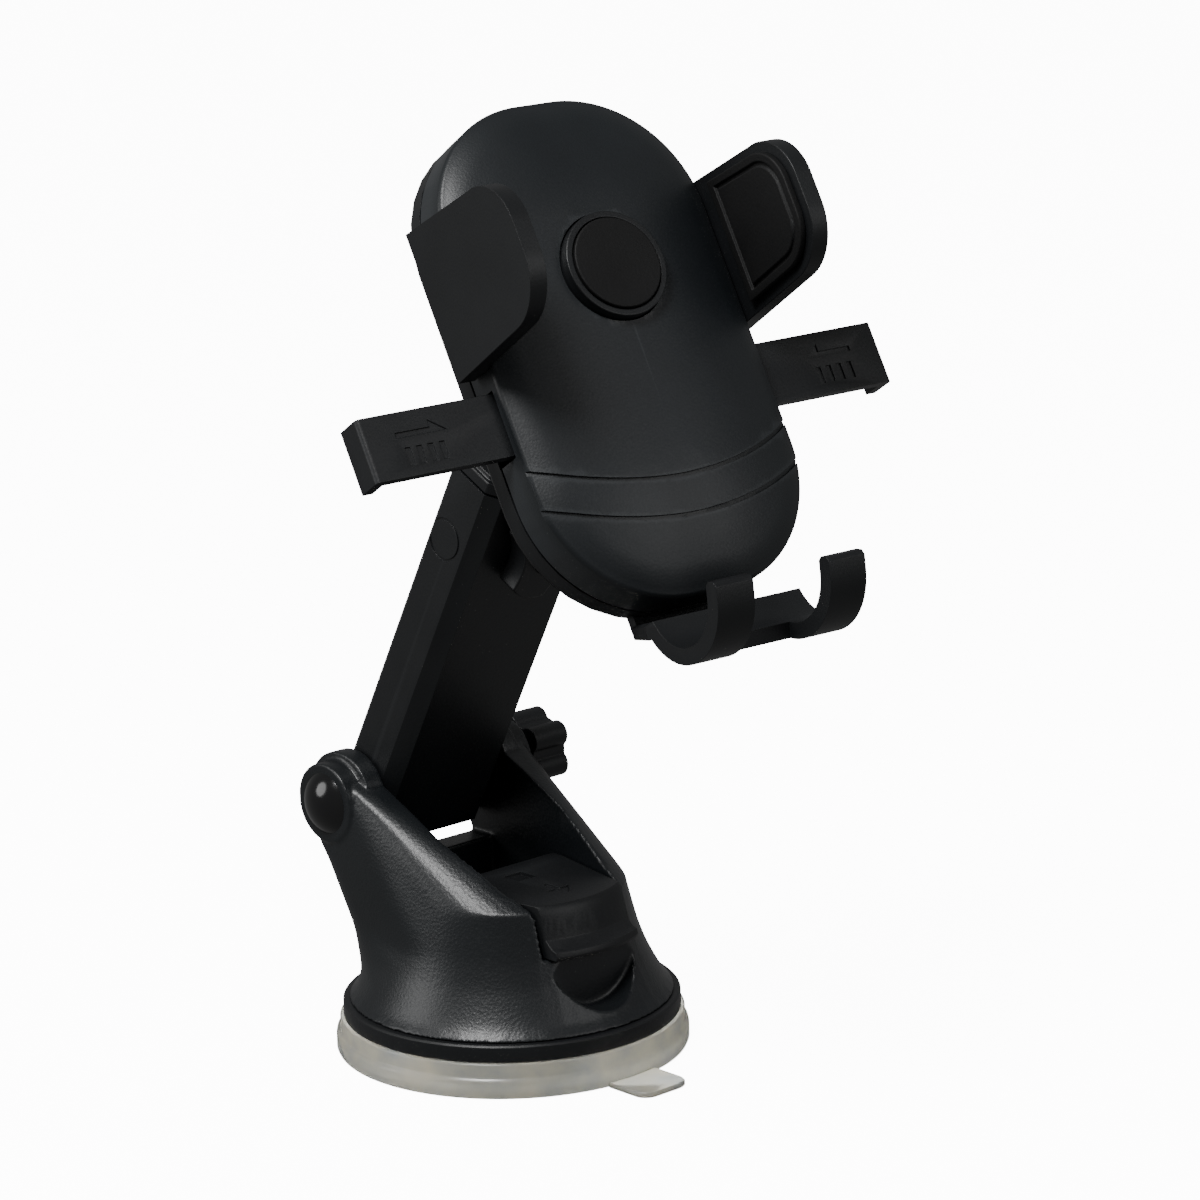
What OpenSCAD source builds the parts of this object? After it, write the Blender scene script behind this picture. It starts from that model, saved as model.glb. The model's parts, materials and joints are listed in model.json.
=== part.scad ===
// Car phone mount: suction base, telescopic arm, ball joint and spring clamp head.
// +Z up, -Y is the front, origin at the centre of the suction cup's lower face.

/* [Suction base] */
// Radius of the gel suction cup
cup_r = 38; // [36:0.5:40]
// Radius of the black retaining ring
ring_r = 36.3; // [35.5:0.1:36.6]
// Radius of the housing where it meets the ring
skirt_r = 35.2; // [34.6:0.1:35.4]
// Half width over the outer faces of the two ears
ear_x = 26.1; // [25.5:0.1:27]
// Half width of the slot between the ears
slot_x = 17.1; // [17.1:0.1:17.6]
// Height of the arm pivot above the table
pivot_z = 52.8; // [52:0.2:54]
// Distance of the arm pivot behind the cup centre
pivot_y = 29.3; // [28.5:0.1:30]

/* [Arm] */
// Forward lean of the arm, degrees
arm_tilt = 28.1; // [24:0.1:30]
// Width of the arm
arm_w = 33.4; // [33:0.1:33.6]
// Depth of the arm
arm_d = 15.9; // [15:0.1:16.4]
// Chamfer on the arm's long edges
arm_ch = 2.9; // [2:0.1:3.4]
// Distance of the tube's top edge from the pivot
arm_top = 84.6; // [82:0.2:86]
// Distance of the ball centre from the pivot
ball_s = 100; // [99:0.5:101]

/* [Head] */
// Turn of the head about the vertical, degrees
head_yaw = -9.4; // [-20:0.2:20]
// Backward lean of the head, degrees
head_pitch = 30.7; // [28:0.1:33]
// Turn of the head about its own face normal, degrees
head_spin = 2.1; // [-5:0.1:5]
// Half width of the head body
body_w = 31.3; // [31:0.1:31.4]
// Corner radius of the head body outline
body_r = 27; // [24:0.5:28]
// Top edge of the head body above the lever centre line
body_top = 64.3; // [63:0.1:66]
// Bottom edge of the head body below the lever centre line
body_bot = -42.5; // [-43:0.1:-42]
// Half height of the squeeze levers
lever_h = 6.7; // [6:0.1:6.7]
// Reach of the squeeze levers from the centre
lever_u = 62.8; // [60:0.2:66]
// Outer face of the clamp wings from the centre
wing_u = 35.7; // [35.4:0.1:36.5]
// Height of the button centre above the lever centre line
btn_v = 25.2; // [25:0.1:25.6]
// Spacing of the two foot hooks
hook_sp = 27; // [26:0.5:29]

/* [Hidden] */
$fn = 64;
e = 0.05;
ring_z = 7.5;      // underside of the black ring
skirt_z = 11.3;    // underside of the housing
well_z = 24.4;     // floor of the well between the ears
lever_top = 37.5;  // top face of the locked lever
pin_z = 30.5;      // lever pin in the locked position
ball_r = 8;
// ball centre in head coordinates (across, along, out)
ball_u = -1.7; ball_v = 9.1; ball_n = -26.3;
spl = 6;           // parting plane of the two covers, behind the lever face
black = [0.06, 0.065, 0.07];
black2 = [0.1, 0.105, 0.11];
steel = [0.7, 0.7, 0.72];

// ---------- frames ----------
module arm_frame() { translate([0, pivot_y, pivot_z]) rotate([arm_tilt, 0, 0]) children(); }
// arm frame: x across, +z along the arm, -y out of the front face
function rx(a, p) = [p[0], p[1]*cos(a) - p[2]*sin(a), p[1]*sin(a) + p[2]*cos(a)];
function rz(a, p) = [p[0]*cos(a) - p[1]*sin(a), p[0]*sin(a) + p[1]*cos(a), p[2]];
function head_dir(p) = rz(head_yaw, rx(90 - head_pitch, rz(head_spin, p)));
ball_w = [0, pivot_y, pivot_z] + rx(arm_tilt, [0, 0, ball_s]);
head_o = ball_w - head_dir([ball_u, ball_v, ball_n]);
// head frame: x across, y up along the body, z out of the front face
module head_frame() { translate(head_o) rotate([0, 0, head_yaw]) rotate([90 - head_pitch, 0, 0]) rotate([0, 0, head_spin]) children(); }
module ball_frame() { head_frame() translate([ball_u, ball_v, ball_n]) children(); }

// ---------- general shapes ----------
// helical spring from z = 0 to z = h
function coil_pt(r, h, n, i, seg) = [r*cos(360*i/seg), r*sin(360*i/seg), h*i/(n*seg)];
module coil(r, w, h, n, seg = 14, sides = 6) {
  cnt = n*seg;
  pts = [for (i = [0:cnt]) for (k = [0:sides-1])
    let (a = 360*i/seg, c = coil_pt(r, h, n, i, seg), q = 360*k/sides)
      [c[0] + w*cos(q)*cos(a), c[1] + w*cos(q)*sin(a), c[2] + w*sin(q)]];
  faces = concat(
    [for (i = [0:cnt-1]) for (k = [0:sides-1]) let (k2 = (k+1) % sides)
      [i*sides + k, i*sides + k2, (i+1)*sides + k2, (i+1)*sides + k]],
    [[for (k = [sides-1:-1:0]) k]], [[for (k = [0:sides-1]) cnt*sides + k]]);
  polyhedron(points = pts, faces = faces);
}
module rrect(w, h, r) {
  square([w - 2*r, h], center = true); square([w, h - 2*r], center = true);
  for (x = [-1, 1], y = [-1, 1]) translate([x*(w/2 - r), y*(h/2 - r)]) circle(r);
}
module chrect(w, d, c) {
  polygon([[-w/2 + c, -d/2], [w/2 - c, -d/2], [w/2, -d/2 + c], [w/2, d/2 - c],
    [w/2 - c, d/2], [-w/2 + c, d/2], [-w/2, d/2 - c], [-w/2, -d/2 + c]]);
}
module xcyl(r, x0, x1, f = 64) { translate([x0, 0, 0]) rotate([0, 90, 0]) cylinder(r = r, h = x1 - x0, $fn = f); }

// ---------- suction base ----------
module suction_cup() color([0.8, 0.78, 0.68, 0.7]) union() {
  rotate_extrude($fn = 96) polygon([[0, 0], [cup_r, 0], [cup_r, 4.3],
    [cup_r - 0.9, 4.5], [cup_r - 0.9, ring_z], [30, ring_z], [25, 5.1], [11, 5.1], [11, 9.8],
    [3.6, 9.8], [3.6, 8.2], [8.5, 8.2], [8.5, 3.4], [0, 3.4]]);
  // pull tab at the front
  difference() {
    linear_extrude(1.3) union() { translate([-6.6, -44.5]) square([13.2, 9.5]); translate([-2.6, -44.4]) circle(4); translate([2.6, -44.4]) circle(4); translate([-2.6, -48.4]) square([5.2, 4]); }
    translate([0, 0, -1]) cylinder(r = cup_r - 0.5, h = 4, $fn = 96);
  }
}
module cup_stud() color(steel) difference() {
  union() {
    translate([0, 0, 5.8]) cylinder(r = 8.1, h = 2);
    translate([0, 0, 7.7]) cylinder(r = 3, h = 20);
    translate([-3.2, -3.4, 27]) cube([6.4, 6.8, 6.9]);
  }
  translate([0, 0, pin_z]) xcyl(1.55, -5, 5, 32);
}
module cup_spring() color(steel) translate([0, 0, 10.6]) coil(5.4, 0.5, 10.8, 5);
module base_ring() color(black2) difference() {
  rotate_extrude($fn = 96) polygon([[26.5, ring_z], [ring_r - 0.3, ring_z], [ring_r, ring_z + 0.3],
    [ring_r, skirt_z - 0.4], [ring_r - 0.4, skirt_z], [26.5, skirt_z]]);
  for (a = [45:90:315]) rotate(a) translate([29, 0, ring_z - 1]) { cylinder(r = 1.45, h = 8, $fn = 24); cylinder(r = 2.7, h = 2.8, $fn = 24); }
  // notch on the left
  rotate(140) translate([ring_r - 0.6, -1.6, ring_z - 1]) cube([3, 3.2, 2.6]);
}
module base_screws() color(steel) for (a = [45:90:315]) rotate(a) translate([29, 0, 0]) {
  translate([0, 0, ring_z + 0.1]) cylinder(r = 2.5, h = 1.7, $fn = 24);
  translate([0, 0, ring_z + 1.7]) cylinder(r = 1.4, h = 7, $fn = 24);
}
module slab(z, rf, cx, cy, cr) translate([0, 0, z]) linear_extrude(0.02) union() {
  circle(rf, $fn = 48); for (x = [-cx, cx]) translate([x, cy]) circle(cr, $fn = 32);
}
module ear_round(x0, x1, r) translate([0, pivot_y, pivot_z]) xcyl(r, x0, x1, 48);
module base_outer() {
  hull() { slab(skirt_z, skirt_r, 8, 8, 20); slab(13.6, 33.2, 11.6, 10.6, 16.2); }
  hull() { slab(13.58, 33.2, 11.6, 10.6, 16.2); slab(16.8, 31.4, 14, 13, 13); }
  hull() { slab(16.78, 31.4, 14, 13, 13); slab(21, 29.3, 15.2, 15.1, 11.3); }
  hull() { slab(20.98, 29.3, 15.2, 15.1, 11.3); slab(26, 27.5, 16.2, 17, 10); }
  hull() { slab(25.98, 27.5, 16.2, 17, 10); slab(36, 25, 17.4, 20, 8.7); ear_round(-ear_x + 1.2, ear_x - 1.2, 7.5); }
}
// plan of the slot between the ears: it narrows towards the lever
module slot_plan() polygon([[-slot_x, 60], [slot_x, 60], [slot_x, 2], [12.4, -22], [12.4, -50], [-12.4, -50], [-12.4, -22], [-slot_x, 2]]);
module base_housing() color(black) difference() {
  union() {
    base_outer();
    // ears: rounded ends around the pivot, flat outer faces
    for (s = [-1, 1]) scale_x(s) difference() {
      translate([slot_x - 0.01, pivot_y, pivot_z]) xcyl(10.3, 0, 4.6, 64);
      translate([0, 0, -1]) cube([60, 100, 1]);
    }
    for (s = [-1, 1]) scale_x(s) translate([slot_x + 4.4, pivot_y, pivot_z]) xcyl(8.6, 0, ear_x - slot_x - 4.4, 64);
  }
  // everything above the sloping top edges of the ears
  translate([-50, 0, 0]) rotate([90, 0, 90]) linear_extrude(100)
    polygon([[pivot_y - 5.0, pivot_z + 9.1], [-14.5, 39.2], [-22, 36.6], [-60, 36.6], [-60, 90], [pivot_y - 5, 90]]);
  // slot for the arm and well for the lever
  difference() {
    translate([0, 0, well_z]) linear_extrude(60) slot_plan();
    translate([-30, 24.6, 0]) cube([60, 20, 37]);
    translate([-30, -60, 0]) cube([60, 38.5, 26.3]);
  }
  // cavity of the mechanism
  translate([0, 0, skirt_z - 1]) cylinder(r = 24.5, h = 9.7, $fn = 96);
  translate([0, 0, 19.9]) cylinder(r = 20, h = 2.2, $fn = 96);
  translate([0, 0, 10]) cylinder(r = 3.3, h = 20, $fn = 48);
  for (a = [45:90:315]) rotate(a) translate([29, 0, 10]) cylinder(r = 1.42, h = 6.4, $fn = 24);
  // pivot bore, bolt head pocket
  translate([0, pivot_y, pivot_z]) { xcyl(3.05, -60, 60, 48); xcyl(5.5, -ear_x - 1, -20.4, 48); }
  // finger recess under the lever
  translate([0, -26, 26.4]) rotate([90, 0, 0]) intersection() { cylinder(r = 11.9, h = 30, $fn = 64); translate([-20, -20, 0]) cube([40, 20, 30]); }
  translate([-11.9, -50, 26.38]) cube([23.8, 24, 2]);
  // mounting holes of the well cover
  for (x = [-12, 12]) translate([x, 18, well_z - 3]) cylinder(r = 1.1, h = 6, $fn = 24);
}
module scale_x(s) { if (s > 0) children(); else mirror([1, 0, 0]) children(); }
module lever_plan(g) polygon([[-slot_x + 0.7 + g, 4], [slot_x - 0.7 - g, 4], [slot_x - 0.7 - g, 1], [11.6 - g, -23], [11.6 - g, -40], [-11.6 + g, -40], [-11.6 + g, -23], [-slot_x + 0.7 + g, 1]]);
module lock_lever() color(black2) difference() {
  union() {
    // top plate and curved front apron with its finger lip
    intersection() {
      rotate_extrude($fn = 96) polygon([[0, lever_top - 1.9], [22.6, lever_top - 1.9], [24.4, 30], [26.2, 26.6], [27, 26.6], [29.8, 26.6],
        [30.1, 27.4], [29.8, 28.5], [28.6, 28.9], [26.9, 30.5], [25.9, lever_top - 2], [25.2, lever_top - 0.5], [24.6, lever_top], [0, lever_top]]);
      translate([0, 0, 20]) linear_extrude(20) difference() { lever_plan(0); translate([-40, 4]) square([80, 60]); }
    }
    // two cam cheeks on the pin
    for (s = [-1, 1]) scale_x(s) translate([3.6, 0, 0]) {
      translate([0, 0, pin_z]) xcyl(3.3, 0, 3.2, 32);
      translate([0, 0, pin_z - 1.8]) xcyl(3.3, 0, 3.2, 32);
      translate([0, -16, pin_z]) cube([3.2, 19.3, 5.4]);
    }
  }
  translate([0, 0, pin_z]) xcyl(1.5, -8, 8, 32);
  // arrow that points to the lip
  translate([0, -17, lever_top - 0.4]) linear_extrude(1) { polygon([[-3, 1.5], [3, 1.5], [0, -2.2]]); translate([-0.6, 1]) square([1.2, 4.5]); }
  // sight window
  translate([-2.6, -6, lever_top - 0.8]) cube([5.2, 5, 2]);
}
module lever_axle_pin() color(steel) translate([0, 0, pin_z]) xcyl(1.5, -7.6, 7.6, 32);
module well_cover() color(black2) difference() {
  translate([-16.9, 9.5, well_z]) cube([33.8, 14.9, 1.5]);
  for (x = [-12, 12]) translate([x, 18, well_z - 3]) cylinder(r = 1.1, h = 6, $fn = 24);
}

// ---------- pivot ----------
module pivot_bolt() color(steel) translate([0, pivot_y, pivot_z]) { xcyl(5.3, -24.4, -20.5, 48); xcyl(3, -21, 36, 48); }
module pivot_cap() color([0.03, 0.03, 0.03]) translate([0, pivot_y, pivot_z]) {
  intersection() { translate([-ear_x + 5.9, 0, 0]) sphere(8.87); xcyl(6.65, -ear_x - 4, -ear_x, 64); }
  xcyl(5.4, -ear_x - 0.5, -24.6, 64);
}
module pivot_washers() color([0.25, 0.25, 0.25]) translate([0, pivot_y, pivot_z]) for (s = [-1, 1]) scale_x(s) difference() {
  xcyl(7.2, slot_x - 0.35, slot_x, 48); xcyl(3.1, 0, 30, 48);
}
module pivot_nut() color(steel) translate([0, pivot_y, pivot_z]) difference() {
  translate([29.4, 0, 0]) rotate([0, 90, 0]) cylinder(r = 5.6, h = 3.6, $fn = 6); xcyl(3.05, 20, 50, 48);
}
module pivot_knob() color(black) translate([0, pivot_y, pivot_z]) difference() {
  union() {
    xcyl(5, ear_x + 0.35, 29, 48);
    translate([28.4, 0, 0]) rotate([0, 90, 0]) rotate(18) linear_extrude(9.4) union() { circle(6.4); for (a = [0:72:359]) rotate(a) translate([5.7, 0]) circle(2.9); }
  }
  xcyl(3.1, 20, 36.2, 48);
  translate([29.4, 0, 0]) rotate([0, 90, 0]) cylinder(r = 5.62, h = 3.6, $fn = 6);
}

// ---------- arm ----------
module outer_arm() color(black) arm_frame() difference() {
  translate([0, 0, -9.1]) linear_extrude(arm_top + 9.1) chrect(arm_w, arm_d, arm_ch);
  translate([0, 0, 16]) linear_extrude(100) chrect(27, 10.2, 1);
  xcyl(3.05, -40, 40, 48);
  // moulded ring mark on both sides, hole for the lock screw
  for (s = [-1, 1]) scale_x(s) translate([0, 1, 68.6]) difference() { xcyl(4.7, arm_w/2 - 0.25, arm_w/2 + 1, 48); xcyl(4.1, 0, 40, 48); }
  translate([0, 0, 72.5]) rotate([90, 0, 0]) cylinder(r = 2.15, h = 20, $fn = 32);
}
module arm_lock_knob() color(black) arm_frame() translate([0, 0, 72.5]) rotate([90, 0, 0]) difference() {
  union() {
    translate([0, 0, arm_d/2 + 0.35]) cylinder(r = 4.6, h = 1.6, $fn = 48);
    difference() {
      translate([0, 0, arm_d/2 + 1.1]) cylinder(r = 11.4, h = 5.1, $fn = 72);
      for (a = [70:120:310]) rotate(a) translate([19.6, 0, 0]) cylinder(r = 11.8, h = 30, $fn = 72);
    }
    translate([0, 0, arm_d/2 + 6]) cylinder(r = 5, h = 3.2, $fn = 48);
    intersection() { translate([0, 0, arm_d/2 + 4.2]) sphere(7.07); translate([0, 0, arm_d/2 + 9.1]) cylinder(r = 5, h = 4, $fn = 48); }
  }
  translate([0, 0, 0]) cylinder(r = 2.0, h = arm_d/2 + 5, $fn = 32);
}
module arm_lock_screw() color(steel) arm_frame() translate([0, 0, 72.5]) rotate([90, 0, 0]) translate([0, 0, 5.0]) cylinder(r = 2, h = arm_d/2, $fn = 32);
module arm_clamp_shoe() color(black2) arm_frame() translate([-5, -4.95, 66]) cube([10, 1.35, 13]);
module inner_arm() color(black) arm_frame() difference() {
  union() {
    translate([0, 0.65, 18]) linear_extrude(arm_top - 17) chrect(26.2, 7.9, 1);
    translate([0, 0, arm_top + 0.35]) linear_extrude(2.7) chrect(arm_w, arm_d, arm_ch);
    translate([0, 0, arm_top + 3.04]) linear_extrude(1.0) chrect(arm_w - 1.8, arm_d - 1.8, arm_ch);
  }
  translate([0, 0, arm_top - 10]) cylinder(r = 2.6, h = 30, $fn = 48);
}
module ball_stud() color(steel) arm_frame() {
  translate([0, 0, ball_s]) sphere(ball_r, $fn = 64);
  translate([0, 0, arm_top - 9.9]) cylinder(r = 2.55, h = ball_s - arm_top + 5, $fn = 48);
  translate([0, 0, arm_top + 4.05]) cylinder(r = 4.4, h = 1.5, $fn = 48);
}

// ---------- ball joint, in the head's own directions ----------
module ball_liner() color([0.75, 0.75, 0.72]) ball_frame() difference() {
  sphere(9.3); sphere(ball_r + 0.06);
  translate([0, 0, -24.2]) cylinder(r = 20, h = 20);
  translate([0, 0, 6]) cylinder(r = 20, h = 20);
}
module ball_nut() color(black) ball_frame() difference() {
  union() {
    translate([0, 0, -5]) cylinder(r = 12.6, h = 12, $fn = 72);
    for (a = [0:30:359]) rotate(a) translate([12.4, 0, -3.6]) cylinder(r = 1.1, h = 9, $fn = 24);
  }
  sphere(9.4);
  translate([0, 0, 2]) cylinder(r = 11.06, h = 20, $fn = 72);
}

// ---------- head ----------
module outline(d) translate([0, (body_top + body_bot)/2]) rrect(2*(body_w - d), body_top - body_bot - 2*d, body_r - d);
module hslab(d, z, h) translate([0, 0, z]) linear_extrude(h) outline(d, $fn = 32);
// crowned front volume, shrunk by d
module crown(d) hull() {
  hslab(d, -spl, spl + 2.2 - d*0.3); hslab(0.9 + d, 3.2 - d, 0.01); hslab(8 + d*0.6, 6.2 - d, 0.01); hslab(15.5, 8.1 - d, 0.01); hslab(22.5, 9 - d, 0.01);
}
module side_slots() {
  // lever slots and clamp arm slots, open at the parting plane
  for (s = [-1, 1]) scale_x(s) {
    translate([20, -lever_h - 0.5, -spl - 0.5]) cube([20, 2*lever_h + 1, spl + 0.9]);
    translate([26, 13.6, -spl - 0.5]) cube([12, 28.4, spl + 0.9]);
  }
}
module posts(z0, z1, r) for (p = [[-18.5, 50], [18.5, 50], [-17.5, -26], [17.5, -26]]) translate([p[0], p[1], z0]) cylinder(r = r, h = z1 - z0, $fn = 32);
module front_cover() color(black) head_frame() difference() {
  union() {
    difference() { crown(0); crown(2.1); translate([0, 0, -20]) linear_extrude(20 - spl + 1) outline(2.1); }
    intersection() { crown(1.5); posts(-spl, 9, 3.2); }
    // guide tube of the button
    intersection() { crown(1.5); translate([0, btn_v, 1.45]) cylinder(r = 13.7, h = 10, $fn = 64); }
  }
  posts(-spl - 1, 2, 1.15);
  side_slots();
  // curved grooves across the lower front
  for (g = [[-19.6, 64], [-27.5, 66]]) difference() {
    translate([0, g[0] + g[1], 0]) difference() { cylinder(r = g[1] + 0.45, h = 20, $fn = 128); translate([0, 0, -1]) cylinder(r = g[1] - 0.45, h = 30, $fn = 128); }
    crown(0.7);
    translate([-50, -2, 0]) cube([100, 200, 30]);
  }
  // button hole and guide bore
  translate([0, btn_v, 0]) { cylinder(r = 11.7, h = 30, $fn = 64); translate([0, 0, -1]) cylinder(r = 12.3, h = 6.4, $fn = 64); }
}
module back_cover() color(black) head_frame() difference() {
  union() {
    hull() { hslab(0, -10.4, 10.4 - spl - 0.35); hslab(1, -12.3, 0.01); hslab(3, -13.2, 0.01); }
    // socket boss and its threaded tube
    translate([ball_u, ball_v, 0]) { translate([0, 0, ball_n + 7.25]) cylinder(r = 12.6, h = 6.5, $fn = 72); translate([0, 0, ball_n + 2.2]) cylinder(r = 11, h = 10, $fn = 72); }
  }
  difference() {
    translate([0, 0, -11.7]) linear_extrude(20) outline(2.1);
    posts(-12, 0, 3.2);
    translate([4, 25, -12]) cylinder(r = 3, h = 5.9, $fn = 32);
    translate([ball_u, ball_v, -12]) cylinder(r = 13.4, h = 2.2, $fn = 64);
    // rails of the foot plate
    for (x = [-15.2, 12.7]) translate([x, -40, -12]) cube([2.5, 27, 3.4]);
  }
  posts(-30, 0, 1.3);
  posts(-14, -11.9, 2.5);
  translate([4, 25, -11]) cylinder(r = 1.2, h = 20, $fn = 24);
  ball_seat();
  side_slots();
  // mouth for the foot plate
  translate([-12.6, -60, -11.5]) cube([25.2, 30, 3.1]);
}
module ball_seat() translate([ball_u, ball_v, ball_n]) { sphere(9.4); translate([0, 0, -1]) cylinder(r = 9.45, h = 3.6, $fn = 64); }
module cover_screws() color(steel) head_frame() { posts(-13.2, -11.95, 2.3); posts(-12.2, 1.6, 1.15); }
module release_button() color(black) head_frame() translate([0, btn_v, 0]) difference() {
  union() { translate([0, 0, 3.7]) cylinder(r = 11.35, h = 7.3, $fn = 64); translate([0, 0, 3.7]) cylinder(r = 12, h = 1.4, $fn = 64); }
  translate([0, 0, 10.2]) cylinder(r = 9.9, h = 5, $fn = 64);
  translate([0, 0, 0]) cylinder(r = 8, h = 8.8, $fn = 64);
}
module button_pad() color([0.02, 0.02, 0.02]) head_frame() translate([0, btn_v, 10.2]) cylinder(r = 9.7, h = 1.3, $fn = 64);
module button_spring() color(steel) head_frame() translate([0, btn_v, 1.9]) coil(4.6, 0.4, 6.4, 4);
module latch_plunger() color(black2) head_frame() translate([-9.6, btn_v, 0.55]) cylinder(r = 1.2, h = 3.15, $fn = 32);
module button_guide() color(black2) head_frame() translate([0, btn_v, 0.45]) difference() {
  cylinder(r = 13.7, h = 1, $fn = 64); translate([-9.6, 0, -1]) cylinder(r = 1.6, h = 4, $fn = 32);
  translate([4, 25 - btn_v, -1]) cylinder(r = 1.22, h = 4, $fn = 24);
}
module wing_plan(d) union() {
  // across the wing: x is out from the face, y is along the body
  translate([22.8, 23]) circle(11.4 - d);
  translate([22.8, 29.4]) circle(11.4 - d);
  translate([22.8, 23]) square([11.4 - d, 6.4]);
  polygon([[-3.4 + d, 10.9 + d], [22.8, 11.6 + d], [22.8, 40.8 - d], [-3.4 + d, 43.2 - d]]);
}
module wing(u0, u1, d) translate([u1, 0, 0]) rotate([0, -90, 0]) linear_extrude(u1 - u0) wing_plan(d);
// squeeze lever: bar, end flange, arrow and grip ridges; it points to +x
module squeeze_lever(u0) difference() {
  union() {
    translate([u0, -lever_h, -2.5]) cube([lever_u - u0 - 1.2, 2*lever_h, 2.5]);
    translate([lever_u - 2.4, -lever_h, -7]) cube([2.4, 2*lever_h, 5.8]);
    translate([lever_u - 1.2, 0, -1.2]) rotate([90, 0, 0]) translate([0, 0, -lever_h]) cylinder(r = 1.2, h = 2*lever_h, $fn = 32);
    translate([lever_u - 2.4, -lever_h, -2.4]) cube([1.2, 2*lever_h, 2.4]);
  }
  translate([lever_u - 19, 1.4, -0.35]) linear_extrude(1) { polygon([[0, 0], [3.6, 0], [3.6, 2.6]]); translate([3.5, 0]) square([8, 1.1]); }
  for (i = [0:3]) translate([lever_u - 17.5 + 2.6*i, -4.4, -0.35]) cube([1.2, 3.6, 1]);
}
// rack teeth along x, on the edge at y = 0, pointing to +y
module rack(x0, n, h) translate([x0, 0, 0]) linear_extrude(h) for (i = [0:n-1]) translate([i*2*PI*4/12, 0]) polygon([[-0.55, -0.2], [0.55, -0.2], [0.28, 0.75], [-0.28, 0.75]]);
module left_clamp() color(black) head_frame() {
  union() {
    mirror([1, 0, 0]) wing(31.8, wing_u, 0);
    squeeze_lever(18);
    translate([-32, 14.2, -2.5]) cube([55, 6.4, 2.5]);
    translate([-32, 35.6, -2.5]) cube([26, 5.8, 2.5]);
    translate([18, -lever_h, -2.5]) cube([4.5, lever_h + 20, 2.5]);
    translate([0, 20.6, -2.5]) rack(4 - 3.5*2*PI*4/12, 13, 2.5);
    translate([-8, 38.5, -9]) cylinder(r = 1.3, h = 7, $fn = 24);
  }
}
module right_clamp() color(black) head_frame() {
  union() {
    wing(31.8, wing_u, 0);
    mirror([1, 0, 0]) squeeze_lever(18);
    translate([-22, 29.4, -5.6]) cube([54, 5.4, 2.5]);
    translate([27, 29.4, -5.6]) cube([6, 5.4, 5.6]);
    translate([6, 35.6, -2.5]) cube([26, 5.8, 2.5]);
    translate([-22.5, -lever_h, -5.6]) cube([4.5, lever_h + 34, 2.5]);
    translate([-22.5, -lever_h, -5.6]) cube([4.5, 2*lever_h, 5.6]);
    translate([0, 29.4, -5.6]) mirror([0, 1, 0]) rack(4 - 8.5*2*PI*4/12, 13, 2.5);
    translate([8, 38.5, -9]) cylinder(r = 1.3, h = 7, $fn = 24);
  }
}
module clamp_pad() difference() {
  translate([31.8, 0, 0]) rotate([0, -90, 0]) linear_extrude(1.5) intersection() { wing_plan(2.2); translate([7, 0]) square([60, 60]); }
  translate([30.0, 0, 0]) rotate([0, -90, 0]) translate([0, 0, -0.9]) linear_extrude(1.2) difference() { intersection() { wing_plan(4); translate([9, 0]) square([60, 60]); } intersection() { wing_plan(4.9); translate([9.9, 0]) square([60, 60]); } }
}
module left_clamp_pad() color([0.03, 0.03, 0.03]) head_frame() mirror([1, 0, 0]) clamp_pad();
module right_clamp_pad() color([0.03, 0.03, 0.03]) head_frame() clamp_pad();
module pinion() color([0.8, 0.8, 0.75]) head_frame() translate([4, 25, -5.6]) difference() {
  linear_extrude(5.6) union() { circle(3.35); for (i = [0:11]) rotate(30*i) polygon([[3, -0.55], [4.3, -0.28], [4.3, 0.28], [3, 0.55]]); }
  translate([0, 0, -1]) cylinder(r = 1.25, h = 10, $fn = 32);
}
module pinion_pin() color(steel) head_frame() translate([4, 25, -11]) cylinder(r = 1.2, h = 12.4, $fn = 24);
module clamp_spring() color(steel) head_frame() translate([-6.6, 38.5, -7.4]) rotate([0, 90, 0]) coil(1.6, 0.3, 13.2, 10, 12, 5);
// J shaped hook profile: x is out from the face, y is along the body
hk_c = [16.5, -44.7];
hk_ro = 14;        // outer radius of the hooks
hk_ri = 10.6;      // inner radius of the hooks
hk_end = -25;      // angle where the straight tip starts
function hk_pt(r, a, t = 0) = hk_c + r*[cos(a), sin(a)] + t*[-sin(a), cos(a)];
module hook_plan(a1 = hk_end) polygon(concat(
    [for (a = [-170:5:a1]) hk_pt(hk_ro, a)],
    a1 == hk_end ? [hk_pt(hk_ro, a1, 2.6), hk_pt(hk_ro - 0.8, a1, 3.5), hk_pt(hk_ri + 0.8, a1, 3.5), hk_pt(hk_ri, a1, 2.6)] : [],
    [for (a = [a1:-5:-170]) hk_pt(hk_ri, a)]));
module foot_bracket() color(black) head_frame() union() {
  // plate that slides in the body
  translate([-12, -45.4, -11.2]) cube([24, 33.9, 2.4]);
  // web that widens from the plate to the hooks
  hull() { translate([-12, -45.6, -11.2]) cube([24, 2.4, 2.4]); translate([-hook_sp/2 - 4.4, -49.4, 2.5]) cube([hook_sp + 8.8, 2.8, 2.6]); }
  for (s = [-1, 1]) translate([s*hook_sp/2 + 4.4, 0, 0]) rotate([0, -90, 0]) linear_extrude(8.8) hook_plan();
  // low bridge between the two hooks
  translate([hook_sp/2, 0, 0]) rotate([0, -90, 0]) linear_extrude(hook_sp) hook_plan(-120);
}

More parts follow.
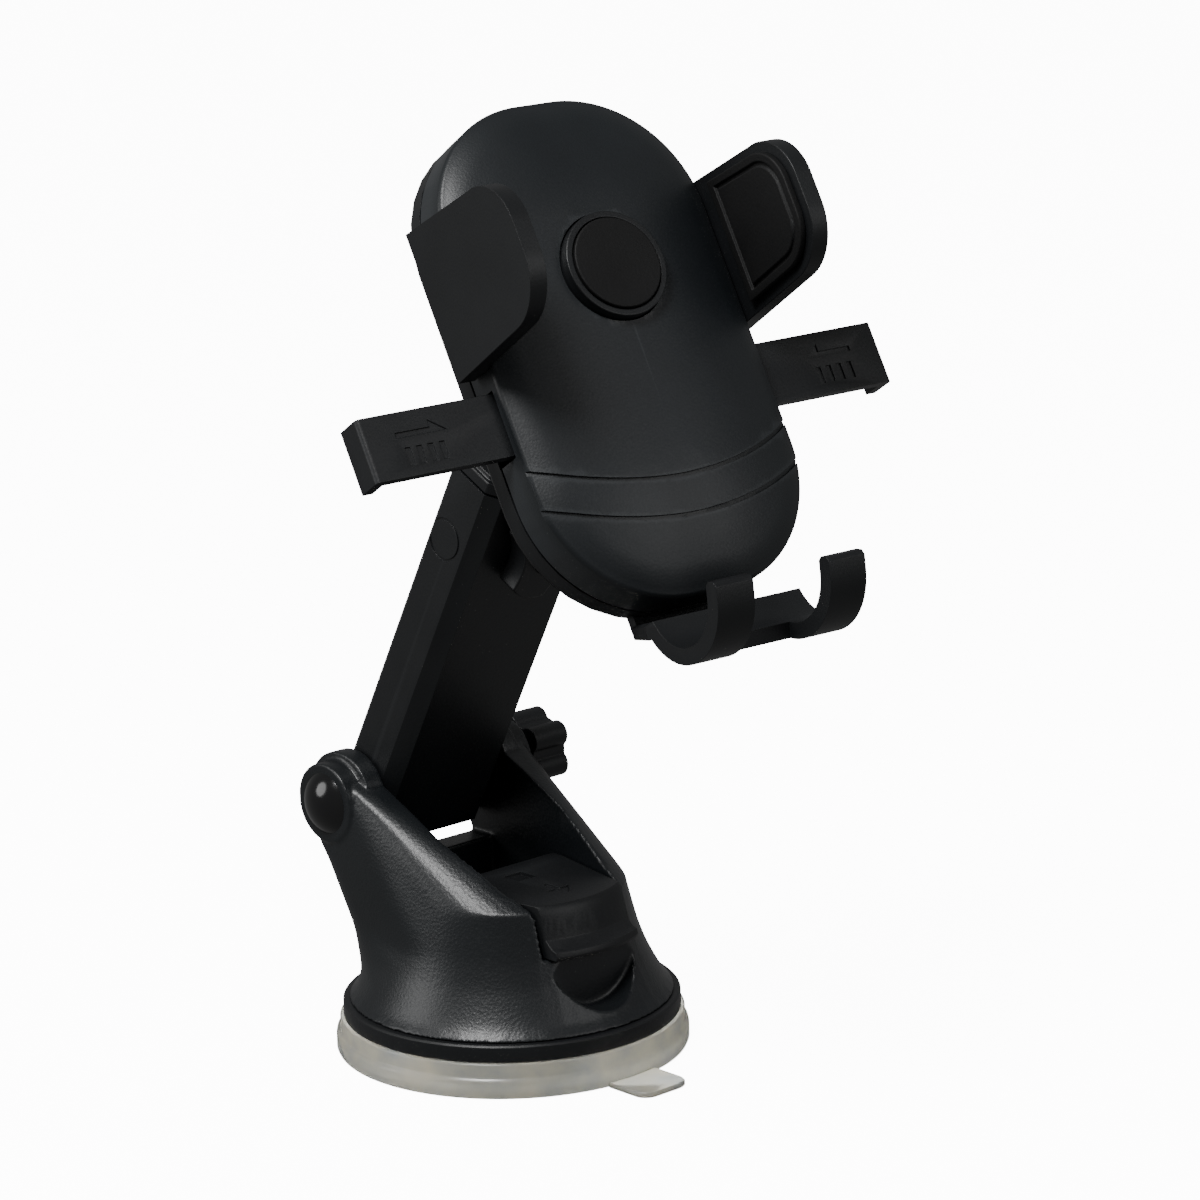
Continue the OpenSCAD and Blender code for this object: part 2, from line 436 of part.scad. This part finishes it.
suction_cup();
cup_stud();
cup_spring();
base_ring();
base_screws();
base_housing();
lock_lever();
lever_axle_pin();
well_cover();
pivot_bolt();
pivot_cap();
pivot_washers();
pivot_nut();
pivot_knob();
outer_arm();
arm_lock_knob();
arm_lock_screw();
arm_clamp_shoe();
inner_arm();
ball_stud();
ball_liner();
ball_nut();
back_cover();
front_cover();
cover_screws();
release_button();
button_pad();
button_spring();
latch_plunger();
button_guide();
left_clamp();
right_clamp();
left_clamp_pad();
right_clamp_pad();
pinion();
pinion_pin();
clamp_spring();
foot_bracket();
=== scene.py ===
import json
import math

import bmesh
import bpy
import numpy as np
from mathutils import Matrix, Vector

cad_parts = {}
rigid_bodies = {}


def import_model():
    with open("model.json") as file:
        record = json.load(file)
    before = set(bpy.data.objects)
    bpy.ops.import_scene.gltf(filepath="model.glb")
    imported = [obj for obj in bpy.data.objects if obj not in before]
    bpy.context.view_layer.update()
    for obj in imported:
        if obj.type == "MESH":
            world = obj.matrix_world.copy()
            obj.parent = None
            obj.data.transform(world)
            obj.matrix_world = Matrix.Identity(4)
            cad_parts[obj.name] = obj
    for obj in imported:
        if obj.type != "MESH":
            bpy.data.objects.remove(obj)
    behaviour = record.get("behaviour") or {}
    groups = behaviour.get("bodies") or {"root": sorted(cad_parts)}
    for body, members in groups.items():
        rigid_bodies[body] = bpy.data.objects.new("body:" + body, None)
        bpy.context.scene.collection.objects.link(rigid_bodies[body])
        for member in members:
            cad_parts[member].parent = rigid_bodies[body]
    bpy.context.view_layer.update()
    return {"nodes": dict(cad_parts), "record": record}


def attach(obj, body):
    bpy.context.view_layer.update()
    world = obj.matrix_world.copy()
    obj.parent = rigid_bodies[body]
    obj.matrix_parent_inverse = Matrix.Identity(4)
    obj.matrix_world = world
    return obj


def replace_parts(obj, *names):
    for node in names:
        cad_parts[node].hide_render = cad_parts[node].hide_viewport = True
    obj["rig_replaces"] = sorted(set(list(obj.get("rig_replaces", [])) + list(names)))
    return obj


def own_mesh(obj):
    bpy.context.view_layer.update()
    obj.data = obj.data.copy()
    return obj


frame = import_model()
NODES = frame["nodes"]
MM = 0.001
BODY = {n: b for b, ns in frame["record"]["behaviour"]["bodies"].items() for n in ns}
SLOT = {s["node"]: s["material_slot"] for s in frame["record"]["subparts"]}
COL = bpy.context.scene.collection


# ---------- the head's own directions, as in the CAD ----------
def rot(a, axis):
    return Matrix.Rotation(math.radians(a), 4, axis)


ARM = Matrix.Translation((0, 29.3, 52.8)) @ rot(28.1, "X")
BALL = ARM @ Vector((0, 0, 100))
HROT = rot(-9.4, "Z") @ rot(90 - 30.7, "X") @ rot(2.1, "Z")
HEAD = Matrix.Translation(BALL - HROT @ Vector((-1.7, 9.1, -26.3))) @ HROT
BTN_V, BW, BR, BTOP, BBOT = 25.2, 31.3, 27.0, 64.3, -42.5


def mm(matrix, p):
    return (matrix @ Vector(p)) * MM


# ---------- materials ----------
def node(nt, kind, **inputs):
    n = nt.nodes.new(kind)
    for k, v in inputs.items():
        n.inputs[k.replace("_", " ")].default_value = v
    return n


def plastic(name, dark, light, rough, grain, depth, spread=0.08, speck=0.0, spec=0.5, coat=0.0, mottle=60.0):
    """Moulded plastic or rubber: fine spark-eroded grain in bump and roughness, soft tone variation, paler colour added
    on convex edges.
    """
    m = bpy.data.materials.new(name)
    m.use_nodes = True
    nt = m.node_tree
    p = nt.nodes["Principled BSDF"]
    p.inputs["Specular IOR Level"].default_value = spec
    p.inputs["Coat Weight"].default_value = coat
    p.inputs["Coat Roughness"].default_value = 0.12
    tc = nt.nodes.new("ShaderNodeTexCoord")
    fine = node(nt, "ShaderNodeTexNoise", Scale=grain, Detail=4.0, Roughness=0.6)
    cell = nt.nodes.new("ShaderNodeTexVoronoi")
    cell.inputs["Scale"].default_value = grain * 0.55
    slow = node(nt, "ShaderNodeTexNoise", Scale=mottle, Detail=3.0)
    for t in (fine, cell, slow):
        nt.links.new(tc.outputs["Object"], t.inputs["Vector"])
    add = nt.nodes.new("ShaderNodeMath")
    add.operation = "ADD"
    nt.links.new(fine.outputs["Fac"], add.inputs[0])
    nt.links.new(cell.outputs["Distance"], add.inputs[1])
    bump = nt.nodes.new("ShaderNodeBump")
    bump.inputs["Strength"].default_value = 0.5
    bump.inputs["Distance"].default_value = depth
    nt.links.new(add.outputs[0], bump.inputs["Height"])
    nt.links.new(bump.outputs["Normal"], p.inputs["Normal"])
    ramp = nt.nodes.new("ShaderNodeValToRGB")
    ramp.color_ramp.elements[0].position, ramp.color_ramp.elements[0].color = 0.3, (*dark, 1)
    ramp.color_ramp.elements[1].position, ramp.color_ramp.elements[1].color = 0.75, (*light, 1)
    nt.links.new(slow.outputs["Fac"], ramp.inputs["Fac"])
    last = ramp.outputs["Color"]
    if speck:
        sr = nt.nodes.new("ShaderNodeValToRGB")
        sr.color_ramp.elements[0].position, sr.color_ramp.elements[0].color = 0.58, (0, 0, 0, 1)
        sr.color_ramp.elements[1].position, sr.color_ramp.elements[1].color = 0.72, (speck, speck, speck, 1)
        nt.links.new(fine.outputs["Fac"], sr.inputs["Fac"])
        mix = nt.nodes.new("ShaderNodeMix")
        mix.data_type, mix.blend_type = "RGBA", "ADD"
        mix.inputs["Factor"].default_value = 1.0
        nt.links.new(last, mix.inputs["A"])
        nt.links.new(sr.outputs["Color"], mix.inputs["B"])
        last = mix.outputs["Result"]
    # paler colour added where pointiness is high, on convex edges
    geo = nt.nodes.new("ShaderNodeNewGeometry")
    er = nt.nodes.new("ShaderNodeValToRGB")
    er.color_ramp.elements[0].position, er.color_ramp.elements[0].color = 0.55, (0, 0, 0, 1)
    er.color_ramp.elements[1].position, er.color_ramp.elements[1].color = 0.75, (0.008, 0.0085, 0.009, 1)
    nt.links.new(geo.outputs["Pointiness"], er.inputs["Fac"])
    pale_edge_mix = nt.nodes.new("ShaderNodeMix")
    pale_edge_mix.data_type, pale_edge_mix.blend_type = "RGBA", "ADD"
    pale_edge_mix.inputs["Factor"].default_value = 1.0
    nt.links.new(last, pale_edge_mix.inputs["A"])
    nt.links.new(er.outputs["Color"], pale_edge_mix.inputs["B"])
    nt.links.new(pale_edge_mix.outputs["Result"], p.inputs["Base Color"])
    rr = nt.nodes.new("ShaderNodeMapRange")
    rr.inputs["To Min"].default_value = rough - spread
    rr.inputs["To Max"].default_value = rough + spread
    nt.links.new(fine.outputs["Fac"], rr.inputs["Value"])
    nt.links.new(rr.outputs["Result"], p.inputs["Roughness"])
    return m


def metal(name, base, rough):
    m = plastic(name, [c * 0.85 for c in base], base, rough, 1500.0, 0.000006, 0.1)
    m.node_tree.nodes["Principled BSDF"].inputs["Metallic"].default_value = 1.0
    return m


def gel(name):
    """Clear gel gone slightly yellow and grey, hazy with dust."""
    m = bpy.data.materials.new(name)
    m.use_nodes = True
    nt = m.node_tree
    p = nt.nodes["Principled BSDF"]
    p.inputs["Transmission Weight"].default_value = 0.5
    p.inputs["IOR"].default_value = 1.41
    p.inputs["Subsurface Weight"].default_value = 0.15
    p.inputs["Subsurface Radius"].default_value = (0.004, 0.004, 0.0045)
    p.inputs["Subsurface Scale"].default_value = 1.0
    tc = nt.nodes.new("ShaderNodeTexCoord")
    haze = node(nt, "ShaderNodeTexNoise", Scale=110.0, Detail=6.0)
    dust = node(nt, "ShaderNodeTexNoise", Scale=1400.0, Detail=3.0)
    for t in (haze, dust):
        nt.links.new(tc.outputs["Object"], t.inputs["Vector"])
    ramp = nt.nodes.new("ShaderNodeValToRGB")
    ramp.color_ramp.elements[0].position, ramp.color_ramp.elements[0].color = 0.3, (0.25, 0.27, 0.27, 1)
    ramp.color_ramp.elements[1].position, ramp.color_ramp.elements[1].color = 0.7, (0.42, 0.39, 0.31, 1)
    nt.links.new(haze.outputs["Fac"], ramp.inputs["Fac"])
    nt.links.new(ramp.outputs["Color"], p.inputs["Base Color"])
    rr = nt.nodes.new("ShaderNodeMapRange")
    rr.inputs["To Min"].default_value, rr.inputs["To Max"].default_value = 0.12, 0.34
    nt.links.new(haze.outputs["Fac"], rr.inputs["Value"])
    nt.links.new(rr.outputs["Result"], p.inputs["Roughness"])
    bump = nt.nodes.new("ShaderNodeBump")
    bump.inputs["Strength"].default_value, bump.inputs["Distance"].default_value = 0.2, 0.00004
    nt.links.new(dust.outputs["Fac"], bump.inputs["Height"])
    nt.links.new(bump.outputs["Normal"], p.inputs["Normal"])
    return m


MATS = {
    "gel": gel("gel"),
    "satin_black": plastic("satin_black", (0.0045, 0.005, 0.0058), (0.0075, 0.0082, 0.0092), 0.44, 3200.0, 0.00003, spec=0.32),
    "grain_black": plastic("grain_black", (0.0035, 0.0045, 0.0056), (0.006, 0.0075, 0.009), 0.37, 2600.0, 0.00006, 0.07, speck=0.003, spec=0.45),
    "head_black": plastic("head_black", (0.0055, 0.007, 0.0085), (0.0075, 0.0092, 0.011), 0.42, 3600.0, 0.00003, 0.05, spec=0.4),
    "gloss_black": plastic("gloss_black", (0.003, 0.003, 0.0033), (0.005, 0.005, 0.0053), 0.15, 2500.0, 0.000004, 0.03, spec=0.5),
    "rubber_black": plastic("rubber_black", (0.003, 0.003, 0.0032), (0.0055, 0.0055, 0.0058), 0.62, 2600.0, 0.00005, 0.08, spec=0.22),
    "nylon": plastic("nylon", (0.62, 0.62, 0.57), (0.72, 0.72, 0.68), 0.5, 2500.0, 0.00002),
    "steel": metal("steel", (0.56, 0.56, 0.58), 0.32),
}


# ---------- mesh tools ----------
def finish_piece(o, cad_node, angle=38.0, mat=None):
    for f in o.data.polygons:
        f.use_smooth = True
    o.data.set_sharp_from_angle(angle=math.radians(angle))
    o.data.materials.clear()
    o.data.materials.append(MATS[mat or SLOT[cad_node]])
    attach(o, BODY[cad_node])
    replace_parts(o, cad_node)
    return o


def new_object(name, bm):
    me = bpy.data.meshes.new(name)
    bm.to_mesh(me)
    bm.free()
    o = bpy.data.objects.new(name, me)
    COL.objects.link(o)
    return o


def bake(o):
    """The object's modifiers become its mesh."""
    dg = bpy.context.evaluated_depsgraph_get()
    me = bpy.data.meshes.new_from_object(o.evaluated_get(dg))
    o.modifiers.clear()
    o.data = me
    return o


def cad_copy(cad_node):
    """The CAD node's shape as clean faces: split vertices joined, flat areas merged."""
    bm = bmesh.new()
    bm.from_mesh(NODES[cad_node].data)
    bmesh.ops.remove_doubles(bm, verts=bm.verts, dist=2e-6)
    bmesh.ops.dissolve_limit(bm, angle_limit=math.radians(0.6), verts=bm.verts, edges=bm.edges)
    return new_object("look_" + cad_node, bm)


def refine(cad_node, width=0.3, seg=3, angle=32.0, mat=None):
    o = cad_copy(cad_node)
    b = o.modifiers.new("round", "BEVEL")
    b.width, b.segments, b.limit_method, b.angle_limit = width * MM, seg, "ANGLE", math.radians(angle)
    b.use_clamp_overlap = True
    return finish_piece(bake(o), cad_node, 12.0, mat)


def moulded(cad_node, voxel, passes, skin=None):
    """The CAD shape with every edge rounded as a mould leaves it."""
    o = cad_copy(cad_node)
    t = o.modifiers.new("t", "TRIANGULATE")
    r = o.modifiers.new("r", "REMESH")
    r.mode, r.voxel_size, r.use_smooth_shade = "VOXEL", voxel * MM, True
    s = o.modifiers.new("s", "SMOOTH")
    s.factor, s.iterations = 0.5, passes
    bake(o)
    if skin:
        g = o.vertex_groups.new(name="skin")
        for v in o.data.vertices:
            g.add([v.index], skin(v.co / MM, v.normal), "REPLACE")
        s = o.modifiers.new("s2", "SMOOTH")
        s.factor, s.iterations, s.vertex_group = 0.5, 160, "skin"
        bake(o)
    return finish_piece(o, cad_node, 75.0)


def loft(bm, rings, cap0=True, cap1=True):
    vs = [[bm.verts.new(p) for p in r] for r in rings]
    for a, b in zip(vs, vs[1:]):
        for i in range(len(a)):
            j = (i + 1) % len(a)
            bm.faces.new((a[i], a[j], b[j], b[i]))
    if cap0:
        bm.faces.new(list(reversed(vs[0])))
    if cap1:
        bm.faces.new(vs[-1])
    return vs


def solid(name, rings):
    bm = bmesh.new()
    loft(bm, rings)
    bmesh.ops.recalc_face_normals(bm, faces=bm.faces)
    return new_object(name, bm)


def disc_rings(cx, cy, profile, seg=96, matrix=HEAD):
    """Lathe about the axis through (cx, cy); profile is a list of (radius, height)."""
    return [[mm(matrix, (cx + r * math.cos(2 * math.pi * i / seg), cy + r * math.sin(2 * math.pi * i / seg), z)) for i in range(seg)] for r, z in profile]


def box_obj(name, lo, hi, matrix):
    return solid(name, [[mm(matrix, (x, y, z)) for x, y in ((lo[0], lo[1]), (hi[0], lo[1]), (hi[0], hi[1]), (lo[0], hi[1]))] for z in (lo[2], hi[2])])


def cut(o, cutters):
    for c in cutters:
        m = o.modifiers.new("c", "BOOLEAN")
        m.operation, m.object, m.solver = "DIFFERENCE", c, "EXACT"
        bpy.context.view_layer.update()
        bake(o)
    for c in cutters:
        bpy.data.objects.remove(c)
    return o


# ---------- front cover: a smooth crowned shell ----------
CROWN = [(0.0, 2.2), (0.3, 2.75), (0.95, 3.2), (4.0, 4.88), (8.0, 6.25), (12.0, 7.27), (16.0, 8.03), (20.0, 8.56), (24.0, 8.88), (28.0, 9.02), (31.0, 9.05)]


def crown_z(d):
    if d <= 0:
        return CROWN[0][1]
    return float(np.interp(d, [p[0] for p in CROWN], [p[1] for p in CROWN]))


def outline_pts(d, n=28):
    r, w, mid, h = max(BR - d, 0.25), BW - d, (BTOP + BBOT) / 2, (BTOP - BBOT) / 2 - d
    out = []
    for k, (sx, sy) in enumerate(((1, 1), (-1, 1), (-1, -1), (1, -1))):
        for i in range(n + 1):
            a = math.radians(90 * k + 90 * i / n)
            out.append((sx * (w - r) + r * math.cos(a), mid + sy * (h - r) + r * math.sin(a)))
        # straight run to the next corner, in short steps
        nx, ny = ((-1, 1), (-1, -1), (1, -1), (1, 1))[k]
        a = math.radians(90 * (k + 1))
        q = (nx * (w - r) + r * math.cos(a), mid + ny * (h - r) + r * math.sin(a))
        steps = 26 if k % 2 else 5
        for i in range(1, steps):
            p = out[-1] if i == 1 else p
            out.append((p[0] + (q[0] - p[0]) * i / steps, p[1] + (q[1] - p[1]) * i / steps))
    return out


def inside(x, y):
    """Distance of a point inside the head outline."""
    mid, h = (BTOP + BBOT) / 2, (BTOP - BBOT) / 2
    qx, qy = abs(x) - (BW - BR), abs(y - mid) - (h - BR)
    return BR - (math.hypot(max(qx, 0), max(qy, 0)) + min(max(qx, qy), 0))


def smooth_crown():
    xs = np.array([p[0] for p in CROWN]); zs = np.array([p[1] for p in CROWN])
    t = np.concatenate([np.linspace(0, 1, 5)[:-1] * 0.95, np.linspace(0.95, 31.0, 40)])
    slope = np.gradient(zs, xs)
    out = []
    for d in t:
        i = min(max(int(np.searchsorted(xs, d)) - 1, 0), len(xs) - 2)
        h = xs[i + 1] - xs[i]; q = (d - xs[i]) / h
        out.append((float(d), float((2*q**3 - 3*q**2 + 1)*zs[i] + (q**3 - 2*q**2 + q)*h*slope[i] + (-2*q**3 + 3*q**2)*zs[i+1] + (q**3 - q**2)*h*slope[i+1])))
    return out


def shell_rings(off, z0):
    rings = [[mm(HEAD, (*p, z)) for p in outline_pts(off)] for z in ([z0, z0 + 0.35, 1.6 - off * 0.2] if not off else [z0, 1.0])]
    if not off:
        rings[0] = [mm(HEAD, (*p, z0)) for p in outline_pts(0.35)]
    for d, z in smooth_crown():
        if d + off < 31.01:
            rings.append([mm(HEAD, (*p, z - off)) for p in outline_pts(d + off)])
    return rings


def groove(y0, rad):
    sec = []
    for i in range(121):
        a = math.radians(-90 - 34 + 68 * i / 120)
        q = []
        for r in (rad - 0.45, rad + 0.45):
            x, y = r * math.cos(a), y0 + rad + r * math.sin(a)
            q.append((x, y, crown_z(inside(x, y)) - 0.6))
        sec.append([mm(HEAD, q[0]), mm(HEAD, q[1]), mm(HEAD, (q[1][0], q[1][1], 20)), mm(HEAD, (q[0][0], q[0][1], 20))])
    return solid("g", sec)


cover = solid("look_front_cover", shell_rings(0, -6))
cuts = [solid("i", shell_rings(2.1, -8)), groove(-19.6, 64), groove(-27.5, 66), solid("h", disc_rings(0, BTN_V, [(11.7, -2), (11.7, 20)]))]
for s in (-1, 1):
    for lo, hi in (((20, -7.2, -6.5), (40, 7.2, 0.4)), ((26, 13.6, -6.5), (38, 42, 0.4))):
        cuts.append(box_obj("b", (min(s * lo[0], s * hi[0]), lo[1], lo[2]), (max(s * lo[0], s * hi[0]), hi[1], hi[2]), HEAD))
cut(cover, cuts)
b = cover.modifiers.new("round", "BEVEL")
b.width, b.segments, b.limit_method, b.angle_limit = 0.16 * MM, 2, "ANGLE", math.radians(40)
finish_piece(bake(cover), "front_cover", 38.0)

# raised collar round the button, seen inside the hole
tube = bmesh.new()
prof = [(11.75, 1.5), (13.6, 1.5), (13.6, 4.0), (11.75, 4.0)]
loft(tube, disc_rings(0, BTN_V, prof + prof[:1], 96), False, False)
tube_o = new_object("button_collar", tube)
tube_o.data.materials.append(MATS["satin_black"])
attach(tube_o, "head")

# ---------- base ----------
def base_skin(p, nrm):
    """1 on the flared outer wall away from its edges, fading to 0 at the ring, the ears' rims, the lever well and the finger recess."""
    r = math.hypot(p.x, p.y)
    ears = max(0.0, min(1.0, (r - 24.0) / 2.0)) if p.y < 18 else max(0.0, min(1.0, (abs(p.x) - 19.5) / 2.0))
    if p.y > 26:
        ears = max(ears, max(0.0, min(1.0, (p.y - 30.0) / 2.0)) if p.z < 34 else 0.0)
    low = max(0.0, min(1.0, (p.z - 12.3) / 2.0))
    top_z = 36.6 if p.y < -22 else min(61.0, 39.2 + (p.y + 14.5) * 0.585 if p.y > -14.5 else 36.6 + (p.y + 22) * 0.347)
    high = max(0.0, min(1.0, (top_z - 3.0 - p.z) / 3.0))
    cap = max(0.0, min(1.0, (math.hypot(p.y - 29.3, p.z - 52.8) - 10.5) / 3.0))
    front = 1.0
    if p.y < 0:
        front = max(0.0, min(1.0, (abs(p.x) - 13.6) / 3.0))
        if p.z < 14:
            front = max(front, 0.0)
    outward = 1.0 if nrm.x * p.x + nrm.y * (p.y - 4) > 0 else 0.0
    return ears * low * high * cap * front * outward


moulded("base_housing", 0.4, 4, base_skin)


def lathe_cup():
    bm = bmesh.new()
    prof = [(0.001, 0.05), (20, 0.05), (37.2, 0.05), (37.75, 0.25), (38, 0.8), (38, 3.3), (37.85, 4.0), (37.4, 4.35), (37.1, 4.8), (37.1, 7.1), (36.8, 7.45), (30, 7.5), (25.3, 5.2), (24, 5.1), (11.2, 5.1), (11, 5.4), (11, 9.6), (10.8, 9.8), (3.8, 9.8), (3.6, 9.6), (3.6, 8.2), (8.5, 8.2), (8.5, 3.4), (0.001, 3.4)]
    loft(bm, disc_rings(0, 0, prof, 144, Matrix.Identity(4)))
    bmesh.ops.recalc_face_normals(bm, faces=bm.faces)
    # pull tab: rounded plate
    pts = [(-6.6, -37.2), (-6.6, -45.2)] + [(-3.4 - 3.2 * math.cos(a), -45.2 - 3.2 * math.sin(a)) for a in np.linspace(0.15, math.pi / 2, 9)]
    pts += [(3.4 + 3.2 * math.sin(a), -45.2 - 3.2 * math.cos(a)) for a in np.linspace(0, math.pi / 2 - 0.15, 9)] + [(6.6, -45.2), (6.6, -37.2)]
    cx, cy = 0, -42
    rings = []
    for k, z in ((0.965, 0.05), (1, 0.3), (1, 1.0), (0.965, 1.28)):
        rings.append([Vector((cx + (x - cx) * k, cy + (y - cy) * k, z)) * MM for x, y in pts])
    loft(bm, rings)
    bmesh.ops.recalc_face_normals(bm, faces=bm.faces)
    return finish_piece(new_object("look_suction_cup", bm), "suction_cup", 45.0)


lathe_cup()

# ---------- the other pieces: CAD shapes with moulded edges ----------
for n, w in (("base_ring", 0.3), ("lock_lever", 0.45), ("outer_arm", 0.5), ("arm_lock_knob", 0.45), ("pivot_knob", 0.6), ("inner_arm", 0.4), ("ball_nut", 0.3),
             ("back_cover", 0.3), ("left_clamp", 0.45), ("right_clamp", 0.45), ("left_clamp_pad", 0.35), ("right_clamp_pad", 0.35), ("foot_bracket", 0.6),
             ("release_button", 0.35), ("button_pad", 0.35), ("pivot_cap", 0.12), ("well_cover", 0.2), ("arm_clamp_shoe", 0.2)):
    refine(n, w)
# the button's spring, given a mesh of its own
spring = finish_piece(cad_copy("button_spring"), "button_spring", 60.0)
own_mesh(spring)

shown = {n for o in bpy.data.objects for n in (o.get("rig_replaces") or [])}
for n, o in NODES.items():
    if n not in shown:
        o.data.materials.clear()
        o.data.materials.append(MATS[SLOT[n]])
        for f in o.data.polygons:
            f.use_smooth = True
            f.material_index = 0

# ---------- stage ----------
bm = bmesh.new()
bmesh.ops.create_grid(bm, x_segments=8, y_segments=8, size=6)
floor = new_object("floor", bm)
floor.location = (0, 0, -0.0001)
fm = bpy.data.materials.new("floor")
fm.use_nodes = True
fm.node_tree.nodes["Principled BSDF"].inputs["Base Color"].default_value = (0.93, 0.93, 0.93, 1)
fm.node_tree.nodes["Principled BSDF"].inputs["Roughness"].default_value = 0.9
fm.node_tree.nodes["Principled BSDF"].inputs["Specular IOR Level"].default_value = 0.0
fm.node_tree.nodes["Principled BSDF"].inputs["Emission Color"].default_value = (1, 1, 1, 1)
fm.node_tree.nodes["Principled BSDF"].inputs["Emission Strength"].default_value = 12.0
floor.visible_glossy = False
floor.visible_diffuse = False
floor.data.materials.append(fm)

world = bpy.data.worlds.new("studio")
bpy.context.scene.world = world
world.use_nodes = True
wt = world.node_tree
soft = wt.nodes["Background"]
soft.inputs["Color"].default_value = (1, 1, 1, 1)
soft.inputs["Strength"].default_value = 0.22
seen = node(wt, "ShaderNodeBackground", Color=(1, 1, 1, 1), Strength=14.0)
path = wt.nodes.new("ShaderNodeLightPath")
pick = wt.nodes.new("ShaderNodeMixShader")
wt.links.new(path.outputs["Is Camera Ray"], pick.inputs[0])
wt.links.new(soft.outputs[0], pick.inputs[1])
wt.links.new(seen.outputs[0], pick.inputs[2])
wt.links.new(pick.outputs[0], wt.nodes["World Output"].inputs["Surface"])

az, el, roll = math.radians(-42.53943), math.radians(13.80907), math.radians(-1.38296)
back = Vector((math.sin(az) * math.cos(el), -math.cos(az) * math.cos(el), math.sin(el)))
right0 = Vector((math.cos(az), math.sin(az), 0))
up0 = back.cross(right0)
right = math.cos(roll) * right0 + math.sin(roll) * up0
up = -math.sin(roll) * right0 + math.cos(roll) * up0
centre = Vector((0, -0.020, 0.110))


def area(name, where, size, power):
    d = bpy.data.lights.new(name, "AREA")
    d.shape, d.size, d.energy = "DISK", size, power
    o = bpy.data.objects.new(name, d)
    o.location = centre + where
    o.rotation_mode = "QUATERNION"
    o.rotation_quaternion = where.normalized().to_track_quat("Z", "Y")
    COL.objects.link(o)


area("key", -right * 0.30 + Vector((0, 0, 0.72)) + back * 0.48, 0.36, 13.0)
area("fill", right * 0.8 + Vector((0, 0, 0.30)) + back * 0.5, 0.7, 2.2)
area("side", -right * 0.85 + Vector((0, 0, 0.25)) + back * 0.15, 0.5, 3.0)

cam = bpy.data.cameras.new("camera")
cam.sensor_fit, cam.sensor_width, cam.lens = "HORIZONTAL", 36.0, 4362.4948 / 1200 * 36
cam.clip_start, cam.clip_end = 0.01, 50
co = bpy.data.objects.new("camera", cam)
co.matrix_world = Matrix(((right.x, up.x, back.x, 0), (right.y, up.y, back.y, 0), (right.z, up.z, back.z, 0), (0, 0, 0, 1)))
co.location = centre + back * 0.9 - right * (-7.61971 * MM) - up * (8.92518 * MM)
COL.objects.link(co)
bpy.context.scene.camera = co
